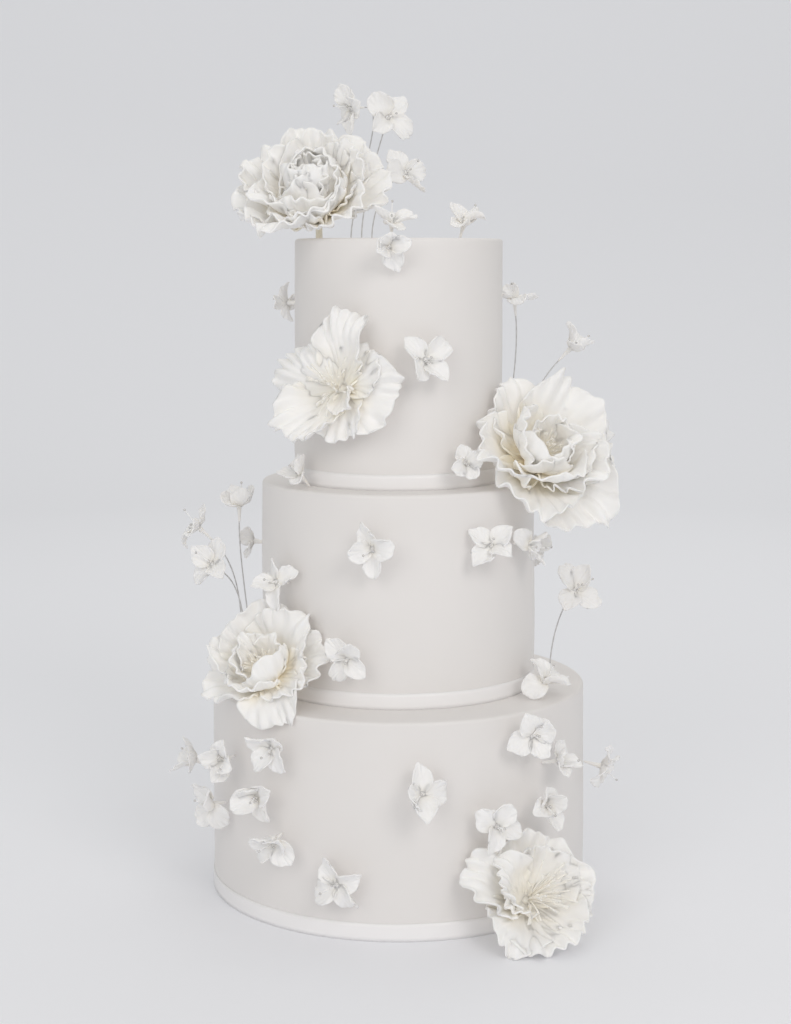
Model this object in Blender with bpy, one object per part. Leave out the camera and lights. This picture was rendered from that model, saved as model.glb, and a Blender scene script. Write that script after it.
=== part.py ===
"""A three-tier wedding cake dressed with sugar peonies and four-petalled blossoms.

Metres, +Z up. The origin is the middle of the cake's underside and the dressed front
looks towards -Y. Azimuths are degrees round the cake, from the front towards +X. The
tiers stand on each other, a satin band runs round the foot of each one, and every
flower reaches its tier, its ledge or its wire with a small gap.
"""
import math
import random

import bmesh
import bpy
from mathutils import Matrix, Vector

MM = 0.001
GAP = 0.3 * MM

# Tiers: radius and height in millimetres, from the foot up.
TIERS = {"bottom": (138.4, 150.0), "middle": (101.8, 150.0), "top": (77.6, 178.5)}
ROUND_STEPS = 48
TIER_EDGE = 2.5 * MM
BAND_HEIGHTS = {"bottom": 12.4, "middle": 11.0, "top": 11.0}
BAND_THICKNESS = 0.5 * MM

# Blossoms.
PETAL_THICKNESS = 1.1 * MM
# A petal's outline and the collar under it, as parts of the petal length; turns in radians.
PETALS = 4
SHOULDER_REACH = 0.88
SHOULDER_TURN = 0.60
NOTCH_REACH = 0.20
TROUGH_REACH = 0.55
TROUGH_LIFT = 0.70
THROAT_DEPTH = 0.08
COLLAR_REACH = 0.11
COLLAR_DEPTH = 0.20
NECK_END = 1.0 * MM
NECK_ON_WIRE = 15.0 * MM
WALL_DISTANCE = 14.0 * MM
WIRE_RADIUS = 0.5 * MM
WIRE_POINTS = 7

# Blossoms on the walls: number, tier, azimuth, height above the tier's foot (mm), how far
# the face turns from straight outwards, how far it looks up, roll, and petal length (mm).
WALL_BLOSSOMS = (
    (5, "top", -4, 172, 12, -6, 20, 15),
    (7, "top", -112, 130, 0, 0, 10, 13),
    (8, "top", 12, 93, 4, 6, 40, 18),
    (12, "top", 31, 19, -12, 6, 20, 13),
    (13, "middle", -9, 114, -6, 4, 15, 17),
    (14, "middle", 34, 114, -22, 30, 40, 16),
    (15, "middle", 54, 109, 10, -6, 60, 15),
    (16, "middle", 112, 89, 0, 0, 30, 13),
    (21, "middle", -106, 98, 4, 6, 40, 13),
    (22, "middle", -49, 85, 8, 10, 25, 16),
    (23, "middle", -18, 37, 0, 10, 55, 16),
    (25, "bottom", 37, 137, -12, 8, 30, 16),
    (26, "bottom", 47, 115, 8, 14, 50, 14),
    (27, "bottom", 42, 87, -22, 10, 20, 16),
    (28, "bottom", 26, 79, -8, 16, 65, 17),
    (29, "bottom", 84, 87, 10, -16, 30, 16),
    (30, "bottom", 6, 105, 0, 0, 5, 18),
    (31, "bottom", -16, 42, -4, 0, 35, 17),
    (32, "bottom", -84, 92, -8, 16, 10, 16),
    (33, "bottom", -54, 112, 30, 4, 75, 16),
    (34, "bottom", -61, 76, 18, 8, 50, 16),
    (35, "bottom", -40, 94, 20, 0, 25, 17),
    (36, "bottom", -34, 65, 16, -8, 45, 17),
    (37, "bottom", -35, 129, 16, -6, 50, 16),
)

# Blossoms on a tier's top, straight on their necks: number, tier, throat (x, y, height
# above that top, mm), azimuth and lift of the face, roll, and petal length (mm).
LEDGE_BLOSSOMS = (
    (4, "top", -5, -62, 12, 0, 68, 15, 16),
    (6, "top", 50, 20, 13, 30, 60, 40, 16),
    (11, "middle", -71, -57, 10, -58, 50, 45, 14),
    (24, "bottom", 106, -63, 12, 28, 52, 20, 17),
)

# Blossoms on wires: number, throat (x, y, z), azimuth and lift of the face, roll, petal
# length (mm), the tier that the wire is stuck into and the place of its foot (x, y).
WIRED_BLOSSOMS = (
    (1, -36, 38, 578, -40, -8, 20, 17, "top", -36, 32),
    (2, -8, 28, 571, 8, 22, 48, 19, "top", -28, 32),
    (3, 6, 20, 529, 48, 26, 10, 17, "top", -20, 20),
    (9, 89, 46, 434, -20, 72, 30, 16, "middle", 82, 44),
    (10, 132, 28, 397, 76, 46, 15, 16, "middle", 91, 32),
    (17, 135, 28, 212, 38, 52, 35, 18, "bottom", 116, 28),
    (18, -152, 18, 261, -90, 42, 0, 16, "bottom", -119, 18),
    (19, -140, 0, 236, -48, 36, 70, 17, "bottom", -115, 6),
    (20, -120, 12, 279, 6, 74, 15, 16, "bottom", -111, 15),
)

# Peonies: name, middle of the calyx (x, y, z), azimuth and lift of the face, rim radius
# (mm), how deep the cup is, and the foot of the stalk: its tier, then the azimuth and
# height (mm) on that tier's wall, or the place (x, y) on its top.
PEONIES = (
    ("peony_crown", (-60, -28, 503), -15, 46, 58, 1.1, "top", "ledge", (-58, -22)),
    ("peony_upper", (-41, -78, 372), -30, 10, 47, 1.0, "top", "wall", (-27, 80)),
    ("peony_right", (101, -38, 319), 22, 32, 56, 1.1, "middle", "ledge", (91, -27)),
    ("peony_left", (-91, -79, 171), -20, 40, 45, 1.1, "bottom", "ledge", (-86, -72)),
    ("peony_foot", (87, -129, 26), 22, 37, 43, 0.8, "bottom", "wall", (34, 24)),
)
PEONY_STEPS = 24
STALK_SIDES = 6
STALK_RADIUS = 2.5 * MM
# The cup's rings from the calyx inwards: reach and rise as parts of the rim radius, how
# deep the notches between its petals are, the number of petals and their turn in radians.
CUP_RINGS = (
    (0.45, 0.08, 0.00, 6, 0.00),
    (1.00, 0.38, 0.10, 6, 0.00),
    (0.42, 0.14, 0.00, 6, 0.00),
    (0.80, 0.56, 0.14, 6, 0.52),
    (0.30, 0.20, 0.00, 6, 0.00),
    (0.54, 0.64, 0.20, 4, 0.26),
    (0.18, 0.24, 0.00, 4, 0.00),
    (0.26, 0.48, 0.20, 4, 0.80),
)
CALYX = (0.10, -0.08)
HEART_RISE = 0.34


def material(name, colour, roughness, metallic=0.0):
    """One Principled surface; the colour is linear red, green and blue."""
    surface = bpy.data.materials.new(name)
    surface.use_nodes = True
    shader = surface.node_tree.nodes["Principled BSDF"]
    shader.inputs["Base Color"].default_value = (*colour, 1.0)
    shader.inputs["Roughness"].default_value = roughness
    shader.inputs["Metallic"].default_value = metallic
    return surface


def add_body(name, points, faces, surface, place=None, smooth_below=40.0):
    """One closed solid in its own frame, its faces turned outwards."""
    mesh = bpy.data.meshes.new(name)
    mesh.from_pydata([tuple(point) for point in points], [], faces)
    shape = bmesh.new()
    shape.from_mesh(mesh)
    bmesh.ops.recalc_face_normals(shape, faces=shape.faces)
    shape.to_mesh(mesh)
    shape.free()
    mesh.shade_smooth()
    mesh.set_sharp_from_angle(angle=math.radians(smooth_below))
    mesh.materials.append(surface)
    body = bpy.data.objects.new(name, mesh)
    body.matrix_world = place or Matrix.Identity(4)
    bpy.context.scene.collection.objects.link(body)
    return body


def tier_foot(tier):
    """Height of the underside of a tier; each stands a gap above the one below."""
    names = list(TIERS)
    below = names[:names.index(tier)]
    return sum(TIERS[name][1] for name in below) * MM + (GAP if below else 0.0)


def tier_top(tier):
    names = list(TIERS)
    return sum(TIERS[name][1] for name in names[:names.index(tier) + 1]) * MM


def outward(azimuth, lift=0.0):
    """Unit vector at an azimuth round the cake, raised by lift; both in degrees."""
    turn, rise = math.radians(azimuth), math.radians(lift)
    level = math.cos(rise)
    return Vector((level * math.sin(turn), -level * math.cos(turn), math.sin(rise)))


def facing(place, azimuth, lift, roll=0.0):
    """Frame at place whose +Z is the way a flower looks and whose +Y is its upward side."""
    look = outward(azimuth, lift)
    up = outward(azimuth, lift + 90.0)
    across = up.cross(look)
    turn = Matrix((across, up, look)).transposed().to_4x4()
    return Matrix.Translation(place) @ turn @ Matrix.Rotation(math.radians(roll), 4, "Z")


def add_tier(name, tier, surface):
    """An upright drum with a small round on its top edge."""
    radius, foot, top = TIERS[tier][0] * MM, tier_foot(tier), tier_top(tier)
    drum = bmesh.new()
    middle = Matrix.Translation((0.0, 0.0, (foot + top) / 2))
    bmesh.ops.create_cone(drum, cap_ends=True, segments=ROUND_STEPS, radius1=radius,
                          radius2=radius, depth=top - foot, matrix=middle)
    rim = [edge for edge in drum.edges if min(end.co.z for end in edge.verts) > foot + GAP]
    bmesh.ops.bevel(drum, geom=rim, offset=TIER_EDGE, segments=2, profile=0.5,
                    affect="EDGES", clamp_overlap=True)
    points = [corner.co.copy() for corner in drum.verts]
    drum.verts.index_update()
    faces = [[corner.index for corner in face.verts] for face in drum.faces]
    drum.free()
    return add_body(name, points, faces, surface)


def add_band(name, tier, surface):
    """A flat band round the foot of a tier: four rings of points, joined in a loop."""
    inner = TIERS[tier][0] * MM + GAP
    low = tier_foot(tier) + GAP
    high = low + BAND_HEIGHTS[tier] * MM
    outer = inner + BAND_THICKNESS
    corners = ((outer, low), (outer, high), (inner, high), (inner, low))
    points, faces = [], []
    for step in range(ROUND_STEPS):
        turn = (step + 0.5) * math.tau / ROUND_STEPS
        points += [Vector((r * math.sin(turn), r * math.cos(turn), z)) for r, z in corners]
    for step in range(ROUND_STEPS):
        here, there = 4 * step, 4 * ((step + 1) % ROUND_STEPS)
        for side in range(4):
            after = (side + 1) % 4
            faces.append((here + side, here + after, there + after, there + side))
    return add_body(name, points, faces, surface)


def polar(reach, turn, height):
    return Vector((reach * math.cos(turn), reach * math.sin(turn), height))


def petal_points(petal, length, dice):
    """Face of one petal, a fifth of the blossom's: notch, shoulder, tip, shoulder, trough."""
    middle = petal * math.pi / 2 + dice.uniform(-0.16, 0.16)
    size, lift = length * dice.uniform(1.0, 1.16), dice.uniform(-0.35, 1.15)

    def spot(reach, turn, rise):
        return polar(reach * size * math.cos(rise), turn, reach * size * math.sin(rise))

    return [polar(NOTCH_REACH * length, (petal - 0.5) * math.pi / 2, 0.0),
            spot(SHOULDER_REACH, middle - SHOULDER_TURN, lift),
            spot(1.0, middle, lift),
            spot(SHOULDER_REACH, middle + SHOULDER_TURN, lift),
            spot(TROUGH_REACH, middle, TROUGH_LIFT * lift)]


def blossom_shape(length, neck, seed):
    """Points and faces of four petals round a throat, on a neck that tapers to its foot.

    A petal's face is a fan round the middle of its trough. Its back is the same fan one
    petal thickness below, and the neck starts from a square collar under the throat.
    """
    dice = random.Random(seed)
    face = [polar(0.0, 0.0, -THROAT_DEPTH * length)]
    for petal in range(PETALS):
        face += petal_points(petal, length, dice)
    behind = len(face) - 1
    back = [point - Vector((0.0, 0.0, PETAL_THICKNESS)) for point in face[1:]]
    points, faces = face + back, []
    collar = len(points)
    foot = collar + PETALS
    for reach, height in ((COLLAR_REACH * length, -COLLAR_DEPTH * length), (NECK_END, -neck)):
        points += [polar(reach, (side - 0.5) * math.tau / PETALS, height)
                   for side in range(PETALS)]
    for petal in range(PETALS):
        after = (petal + 1) % PETALS
        notch, next_notch, trough = 1 + 5 * petal, 1 + 5 * after, 5 + 5 * petal
        edge = (notch, notch + 1, notch + 2, notch + 3, next_notch)
        for here, there in zip(edge, edge[1:]):
            faces.append((here, there, trough))
            faces.append((there + behind, here + behind, trough + behind))
            faces.append((here, here + behind, there + behind, there))
        faces += [(next_notch, 0, trough), (0, notch, trough)]
        faces.append((notch + behind, collar + petal, trough + behind))
        faces.append((trough + behind, collar + petal, collar + after))
        faces.append((trough + behind, collar + after, next_notch + behind))
        faces.append((collar + petal, foot + petal, foot + after, collar + after))
    faces.append(tuple(foot + side for side in reversed(range(PETALS))))
    return points, faces


def add_blossom(number, throat, azimuth, lift, roll, length, neck, surface):
    points, faces = blossom_shape(length * MM, neck, number)
    name = f"blossom_{number:02d}"
    return add_body(name, points, faces, surface, facing(throat, azimuth, lift, roll))


def neck_length(distance, slope):
    """Neck from a throat to a surface at a distance, met at a slope (cosine)."""
    dip = NECK_END * math.sqrt(max(0.0, 1.0 - slope * slope))
    return (distance - GAP - dip) / slope


def add_wall_blossoms(surface):
    for number, tier, azimuth, height, turn, lift, roll, length in WALL_BLOSSOMS:
        away = outward(azimuth)
        throat = away * (TIERS[tier][0] * MM + WALL_DISTANCE)
        throat.z = tier_foot(tier) + height * MM
        neck = neck_length(WALL_DISTANCE, outward(azimuth + turn, lift).dot(away))
        add_blossom(number, throat, azimuth + turn, lift, roll, length, neck, surface)


def add_ledge_blossoms(surface):
    for number, tier, x, y, height, azimuth, lift, roll, length in LEDGE_BLOSSOMS:
        throat = Vector((x * MM, y * MM, tier_top(tier) + height * MM))
        neck = neck_length(height * MM, outward(azimuth, lift).z)
        add_blossom(number, throat, azimuth, lift, roll, length, neck, surface)


def add_wire(name, foot, end, along, surface):
    """A round wire on a cubic curve: upright at its foot, into the neck at its end."""
    reach = (end - foot).length / 3
    first, second = foot + Vector((0.0, 0.0, reach)), end - along * reach
    curve = bpy.data.curves.new(name, "CURVE")
    curve.dimensions = "3D"
    curve.bevel_depth = WIRE_RADIUS
    curve.bevel_resolution = 1
    curve.use_fill_caps = True
    line = curve.splines.new("POLY")
    line.points.add(WIRE_POINTS - 1)
    for step, point in enumerate(line.points):
        t = step / (WIRE_POINTS - 1)
        s = 1 - t
        place = s**3 * foot + 3 * s * s * t * first + 3 * s * t * t * second + t**3 * end
        point.co = (*place, 1.0)
    curve.materials.append(surface)
    bpy.context.scene.collection.objects.link(bpy.data.objects.new(name, curve))


def add_wired_blossoms(petals, wire):
    for number, x, y, z, azimuth, lift, roll, length, tier, foot_x, foot_y in WIRED_BLOSSOMS:
        throat = Vector((x, y, z)) * MM
        add_blossom(number, throat, azimuth, lift, roll, length, NECK_ON_WIRE, petals)
        look = outward(azimuth, lift)
        foot = Vector((foot_x * MM, foot_y * MM, tier_top(tier) + GAP))
        end = throat - look * (NECK_ON_WIRE + GAP)
        add_wire(f"wire_{number:02d}", foot, end, look, wire)


def cup_ring(radius, cup, row, dice):
    """One ring of the peony's cup; between petals a lip is notched in and down."""
    reach, rise, notch, petals, turn = row
    lengths = [dice.uniform(0.94, 1.0) if notch else 1.0 for _ in range(petals)]
    ring = []
    for step in range(PEONY_STEPS):
        angle = step * math.tau / PEONY_STEPS
        across = (angle - turn) * petals / math.tau
        lobe = abs(math.cos(math.pi * across)) ** 0.6
        size = lengths[round(across) % petals] * (1.0 - notch * (1.0 - lobe))
        ring.append(polar(radius * reach * size, angle, radius * rise * cup * size))
    return ring


def stalk_ring(centre, normal, side):
    """A six-sided ring across the stalk, turned so that its first point is on side."""
    first = (side - side.dot(normal) * normal).normalized()
    second = normal.cross(first)
    turns = [step * math.tau / STALK_SIDES for step in range(STALK_SIDES)]
    return [centre + STALK_RADIUS * (math.cos(t) * first + math.sin(t) * second)
            for t in turns]


def join_rings(faces, first, first_size, second, second_size):
    """Faces between two closed rings whose sizes divide: quads, or fans of triangles."""
    each = second_size // first_size
    for step in range(first_size):
        here, after = first + step, first + (step + 1) % first_size
        for inner in range(each):
            low = second + step * each + inner
            high = second + (step * each + inner + 1) % second_size
            if inner < each - 1:
                faces.append((here, high, low))
            else:
                faces.append((here, after, high, low))


def add_peony(name, calyx, azimuth, lift, rim, cup, foot, normal, surface):
    """A bowl of notched petal rings, each nested in the last, on a stalk to its foot."""
    dice = random.Random(name)
    place = facing(calyx, azimuth, lift)
    home = place.inverted()
    foot_centre, foot_normal = home @ foot, home.to_3x3() @ normal
    radius, side = rim * MM, Vector((1.0, 0.0, 0.0))
    neck = Vector((0.0, 0.0, (CALYX[1] - CALYX[0]) * radius))
    along = Vector((0.0, 0.0, 1.0))
    rings = [stalk_ring(foot_centre, foot_normal, side)]
    bend = (foot_centre + neck) / 2
    rings.append(stalk_ring(bend, (foot_normal + along).normalized(), side))
    rings.append(stalk_ring(neck, along, side))
    turns = [step * math.tau / PEONY_STEPS for step in range(PEONY_STEPS)]
    rings.append([polar(CALYX[0] * radius, turn, CALYX[1] * radius) for turn in turns])
    rings += [cup_ring(radius, cup, row, dice) for row in CUP_RINGS]
    points, faces, starts = [], [], []
    for ring in rings:
        starts.append(len(points))
        points += ring
    for index in range(len(rings) - 1):
        join_rings(faces, starts[index], len(rings[index]), starts[index + 1],
                   len(rings[index + 1]))
    faces.append(tuple(range(len(rings[0]))))
    heart = len(points)
    points.append(Vector((0.0, 0.0, HEART_RISE * radius * cup)))
    last = starts[-1]
    for step in range(PEONY_STEPS):
        faces.append((last + step, last + (step + 1) % PEONY_STEPS, heart))
    return add_body(name, points, faces, surface, place)


def add_peonies(surface):
    for name, calyx, azimuth, lift, rim, cup, tier, hold, spot in PEONIES:
        if hold == "wall":
            normal = outward(spot[0])
            foot = normal * (TIERS[tier][0] * MM + GAP)
            foot.z = tier_foot(tier) + spot[1] * MM
        else:
            normal = Vector((0.0, 0.0, 1.0))
            foot = Vector((spot[0] * MM, spot[1] * MM, tier_top(tier) + GAP))
        centre = Vector(calyx) * MM
        add_peony(name, centre, azimuth, lift, rim, cup, foot, normal, surface)


def build():
    for old in list(bpy.data.objects):
        bpy.data.objects.remove(old)
    fondant = material("white_fondant", (0.80, 0.78, 0.76), 0.50)
    satin = material("white_satin", (0.84, 0.83, 0.84), 0.30)
    petals = material("white_sugar_paste", (0.88, 0.88, 0.87), 0.65)
    cream = material("ivory_sugar_paste", (0.87, 0.85, 0.79), 0.60)
    wire = material("paper_covered_wire", (0.60, 0.61, 0.62), 0.55)
    for tier in TIERS:
        add_tier(f"tier_{tier}", tier, fondant)
        add_band(f"band_{tier}", tier, satin)
    add_wall_blossoms(petals)
    add_ledge_blossoms(petals)
    add_wired_blossoms(petals, wire)
    add_peonies(cream)


build()
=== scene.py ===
"""Looks of a three-tier wedding cake in white fondant, with sugar peonies and blossoms.

Metres, +Z up, the dressed front towards -Y. Azimuths are degrees round the cake, from the
front towards +X. Sizes of the tiers come from the frame; flowers are placed by the same
listed layout as their solids. Every new surface is a grid of points worked out with
numpy, closed into a thin shell, a tube or a turned drum.
"""
import math
import random

import bpy
import numpy as np
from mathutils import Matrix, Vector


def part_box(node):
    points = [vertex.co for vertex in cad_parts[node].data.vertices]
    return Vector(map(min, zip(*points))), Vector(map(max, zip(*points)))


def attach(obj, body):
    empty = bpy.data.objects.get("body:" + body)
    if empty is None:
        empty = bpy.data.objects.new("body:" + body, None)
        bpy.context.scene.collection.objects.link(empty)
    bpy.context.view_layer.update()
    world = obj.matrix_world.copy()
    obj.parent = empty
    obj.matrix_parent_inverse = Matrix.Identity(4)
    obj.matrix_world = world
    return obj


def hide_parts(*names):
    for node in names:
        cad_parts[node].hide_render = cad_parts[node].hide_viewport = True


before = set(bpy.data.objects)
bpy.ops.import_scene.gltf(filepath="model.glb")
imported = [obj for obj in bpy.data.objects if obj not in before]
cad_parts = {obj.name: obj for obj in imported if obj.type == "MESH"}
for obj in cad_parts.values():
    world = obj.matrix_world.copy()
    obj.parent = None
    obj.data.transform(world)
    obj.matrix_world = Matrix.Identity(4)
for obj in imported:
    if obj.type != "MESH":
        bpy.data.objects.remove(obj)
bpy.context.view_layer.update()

MM = 0.001
TAU = math.tau
TIERS = ("bottom", "middle", "top")

# ---------------------------------------------------------------- layout, as the solids have it

WALL_DISTANCE = 14.0 * MM    # from a tier's wall to the throat of a blossom on it
NECK_ON_WIRE = 15.0 * MM     # length of the neck that a wire runs into
SEAT = 0.3 * MM              # gap between a neck's end and the fondant
FONDANT_INSET = 0.45 * MM    # how far the fondant's wall lies inside its solid's

# Number, tier, azimuth, height above the tier's foot (mm), turn of the face from straight
# outwards, lift, roll, petal length (mm).
WALL_BLOSSOMS = (
    (5, "top", -4, 172, 12, -6, 20, 15),
    (7, "top", -112, 130, 0, 0, 10, 13),
    (8, "top", 12, 93, 4, 6, 40, 18),
    (12, "top", 31, 19, -12, 6, 20, 13),
    (13, "middle", -9, 114, -6, 4, 15, 17),
    (14, "middle", 34, 114, -22, 30, 40, 16),
    (15, "middle", 54, 109, 10, -6, 60, 15),
    (16, "middle", 112, 89, 0, 0, 30, 13),
    (21, "middle", -106, 98, 4, 6, 40, 13),
    (22, "middle", -49, 85, 8, 10, 25, 16),
    (23, "middle", -18, 37, 0, 10, 55, 16),
    (25, "bottom", 37, 137, -12, 8, 30, 16),
    (26, "bottom", 47, 115, 8, 14, 50, 14),
    (27, "bottom", 42, 87, -22, 10, 20, 16),
    (28, "bottom", 26, 79, -8, 16, 65, 17),
    (29, "bottom", 84, 87, 10, -16, 30, 16),
    (30, "bottom", 6, 105, 0, 0, 5, 18),
    (31, "bottom", -16, 42, -4, 0, 35, 17),
    (32, "bottom", -84, 92, -8, 16, 10, 16),
    (33, "bottom", -54, 112, 30, 4, 75, 16),
    (34, "bottom", -61, 76, 18, 8, 50, 16),
    (35, "bottom", -40, 94, 20, 0, 25, 17),
    (36, "bottom", -34, 65, 16, -8, 45, 17),
    (37, "bottom", -35, 129, 16, -6, 50, 16),
)

# Number, tier, throat (x, y, height above the tier's top, mm), azimuth, lift, roll, length.
LEDGE_BLOSSOMS = (
    (4, "top", -5, -62, 12, 0, 68, 15, 16),
    (6, "top", 50, 20, 13, 30, 60, 40, 16),
    (11, "middle", -71, -57, 10, -58, 50, 45, 14),
    (24, "bottom", 106, -63, 12, 28, 52, 20, 17),
)

# Number, throat (x, y, z, mm), azimuth, lift, roll, length, tier and foot (x, y) of the wire.
WIRED_BLOSSOMS = (
    (1, -36, 38, 578, -40, -8, 20, 17, "top", -36, 32),
    (2, -8, 28, 571, 8, 22, 48, 19, "top", -28, 32),
    (3, 6, 20, 529, 48, 26, 10, 17, "top", -20, 20),
    (9, 89, 46, 434, -20, 72, 30, 16, "middle", 82, 44),
    (10, 132, 28, 397, 76, 46, 15, 16, "middle", 91, 32),
    (17, 135, 28, 212, 38, 52, 35, 18, "bottom", 116, 28),
    (18, -152, 18, 261, -90, 42, 0, 16, "bottom", -119, 18),
    (19, -140, 0, 236, -48, 36, 70, 17, "bottom", -115, 6),
    (20, -120, 12, 279, 6, 74, 15, 16, "bottom", -111, 15),
)

# Name, middle of the calyx (x, y, z, mm), azimuth, lift, rim radius (mm), and the stalk's
# foot: tier, then azimuth and height (mm) on its wall or the place (x, y) on its top.
PEONIES = (
    ("peony_crown", (-60, -28, 503), -15, 46, 58, "top", "ledge", (-58, -22)),
    ("peony_upper", (-41, -78, 372), -30, 10, 47, "top", "wall", (-27, 80)),
    ("peony_right", (101, -38, 319), 22, 32, 56, "middle", "ledge", (91, -27)),
    ("peony_left", (-91, -79, 171), -20, 40, 45, "bottom", "ledge", (-86, -72)),
    ("peony_foot", (87, -129, 26), 22, 37, 43, "bottom", "wall", (34, 24)),
)


def whorl(count, turn, *shape):
    """Rows for a ring of like petals, the first at turn (degrees)."""
    return tuple((turn + number * 360 / count, *shape) for number in range(count))


# Petals of each peony, outermost first: turn round the flower from its right-hand side,
# length and width as parts of the rim radius, lean from the flower's axis at base and tip
# (degrees), how far it is cupped across and how far its end curls out (radians).
PEONY_PETALS = {
    "peony_crown": (
        (12, 1.04, 1.25, 92, 36, 0.95, 0.50),
        (60, 1.06, 1.25, 88, 30, 0.95, 0.50),
        (108, 1.10, 1.30, 82, 22, 0.95, 0.50),
        (156, 1.08, 1.25, 90, 30, 0.95, 0.50),
        (196, 1.06, 1.35, 94, 40, 0.95, 0.50),
        (236, 1.06, 1.30, 88, 32, 1.00, 0.40),
        (282, 0.88, 1.25, 80, 20, 1.05, 0.35),
        (328, 0.94, 1.25, 86, 28, 1.00, 0.40),
        (36, 0.94, 1.15, 74, 6, 1.05, 0.40),
        (90, 0.98, 1.15, 66, 0, 1.05, 0.40),
        (146, 0.94, 1.15, 72, 2, 1.10, 0.30),
        (214, 0.92, 1.10, 78, 10, 1.10, 0.25),
        (262, 0.82, 1.15, 72, 2, 1.15, 0.20),
        (318, 0.84, 1.15, 74, 6, 1.15, 0.20),
        *whorl(4, 40, 0.86, 1.12, 58, -34, 1.20, 0.10),
        *whorl(5, 16, 0.80, 0.86, 46, -40, 1.15, 0.35),
        *whorl(3, 50, 0.66, 0.70, 26, -34, 1.10, 0.40)),
    "peony_upper": (
        (40, 0.80, 1.00, 88, 60, 0.60, 0.40),
        (84, 1.20, 0.92, 74, 50, 0.95, 1.50),
        (-8, 0.96, 1.45, 92, 70, 0.50, 0.70),
        (276, 0.76, 1.05, 90, 60, 0.80, 0.70),
        (226, 1.16, 1.20, 84, 28, 1.15, 0.70),
        (162, 1.24, 1.20, 54, 104, -1.00, 0.45),
        (130, 0.88, 0.86, 40, 92, -1.10, 0.45),
        (306, 0.50, 0.60, 70, 30, 1.00, 0.50)),
    "peony_right": (
        (-54, 1.22, 1.70, 94, 40, 0.80, 0.60),
        (-112, 1.15, 1.45, 92, 28, 0.95, 0.30),
        (184, 1.24, 1.35, 88, 18, 1.10, 0.40),
        (52, 1.16, 1.50, 80, 26, 0.85, 1.00),
        (8, 1.06, 1.30, 88, 38, 0.90, 0.70),
        (114, 1.06, 1.20, 96, 40, 0.90, 0.40),
        (-40, 1.04, 1.30, 76, 4, 1.10, 0.50),
        (-86, 0.98, 1.35, 74, -4, 1.15, 0.20),
        (150, 1.00, 1.15, 64, -8, 1.10, 0.15),
        (-14, 0.90, 1.05, 68, -6, 1.15, 0.50),
        (212, 0.90, 1.25, 62, -30, 1.20, 0.05),
        (-72, 0.84, 1.25, 60, -36, 1.20, 0.05),
        (70, 0.68, 0.84, 52, -14, 1.15, 0.60),
        (-8, 0.72, 0.86, 54, -24, 1.15, 0.35),
        (150, 0.56, 0.70, 46, -20, 1.15, 0.30)),
    "peony_left": (
        (112, 1.13, 1.60, 76, 20, 0.90, 0.45),
        (62, 1.12, 1.35, 76, 22, 0.85, 0.55),
        (-66, 1.16, 1.20, 66, 108, 0.40, 0.40),
        (168, 1.06, 1.40, 82, 16, 1.10, 0.40),
        (206, 1.02, 1.35, 88, 40, 1.00, 1.10),
        (12, 1.10, 1.30, 88, 36, 0.90, 0.50),
        (-24, 1.00, 1.20, 78, 20, 1.00, 0.40),
        (250, 0.92, 1.20, 70, 2, 1.10, 0.30),
        (192, 0.88, 1.10, 64, -14, 1.15, 0.20),
        (-40, 0.96, 1.30, 62, -36, 1.25, 0.05),
        (140, 0.78, 0.92, 56, -8, 1.10, 0.40),
        (76, 0.68, 0.84, 52, -4, 1.10, 0.40)),
    "peony_foot": (
        (70, 1.08, 1.65, 86, 30, 0.80, 0.45),
        (-72, 1.18, 1.70, 86, 50, 0.60, 0.50),
        (-122, 1.14, 1.40, 93, 66, 0.65, 0.50),
        (-22, 1.06, 1.10, 78, 28, 0.85, 0.50),
        (160, 1.24, 1.35, 78, 30, 1.00, 1.70),
        (8, 1.12, 1.55, 82, 14, 0.95, 0.25),
        (46, 1.00, 1.40, 74, 6, 1.00, 0.30),
        (140, 1.00, 1.05, 62, 12, 1.10, 1.70),
        (204, 0.68, 0.80, 66, 16, 1.00, 0.50)),
}

# Stamens of each peony: longest reach as a part of the rim radius, the turn that they fan
# round and how far they spread to each side of it (degrees).
PEONY_THREADS = {
    "peony_crown": (0.55, 90, 180),
    "peony_upper": (0.62, 30, 130),
    "peony_right": (0.42, 90, 180),
    "peony_left": (0.48, 140, 150),
    "peony_foot": (0.90, -20, 110),
}


def tier_size(tier):
    """Radius, foot and top of a tier, from its solid's box."""
    low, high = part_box(f"tier_{tier}")
    return (high.x - low.x) / 2, low.z, high.z


# ---------------------------------------------------------------- frames and grids

def outward(azimuth, lift=0.0):
    """Unit vector at an azimuth round the cake, raised by lift; both in degrees."""
    turn, rise = math.radians(azimuth), math.radians(lift)
    level = math.cos(rise)
    return np.array((level * math.sin(turn), -level * math.cos(turn), math.sin(rise)))


def facing(azimuth, lift, roll=0.0):
    """Rows across, up and look: a flower's own axes, turned by roll round look."""
    look, up = outward(azimuth, lift), outward(azimuth, lift + 90.0)
    across = np.cross(up, look)
    turn = math.radians(roll)
    return np.array((math.cos(turn) * across + math.sin(turn) * up,
                     math.cos(turn) * up - math.sin(turn) * across, look))


def smooth_step(low, high, value):
    """0 below low, 1 above high, and between them 3 p^2 - 2 p^3 of the part p of the way."""
    part = np.clip((value - low) / (high - low), 0.0, 1.0)
    return part * part * (3.0 - 2.0 * part)


def grid_quads(rows, columns, close_columns=False):
    """Corner numbers of the quads of a rows x columns grid, wrapped round if closed."""
    number = np.arange(rows * columns).reshape(rows, columns)
    if close_columns:
        number = np.hstack((number, number[:, :1]))
    return np.stack((number[:-1, :-1], number[1:, :-1], number[1:, 1:], number[:-1, 1:]),
                    axis=-1).reshape(-1, 4)


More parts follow.
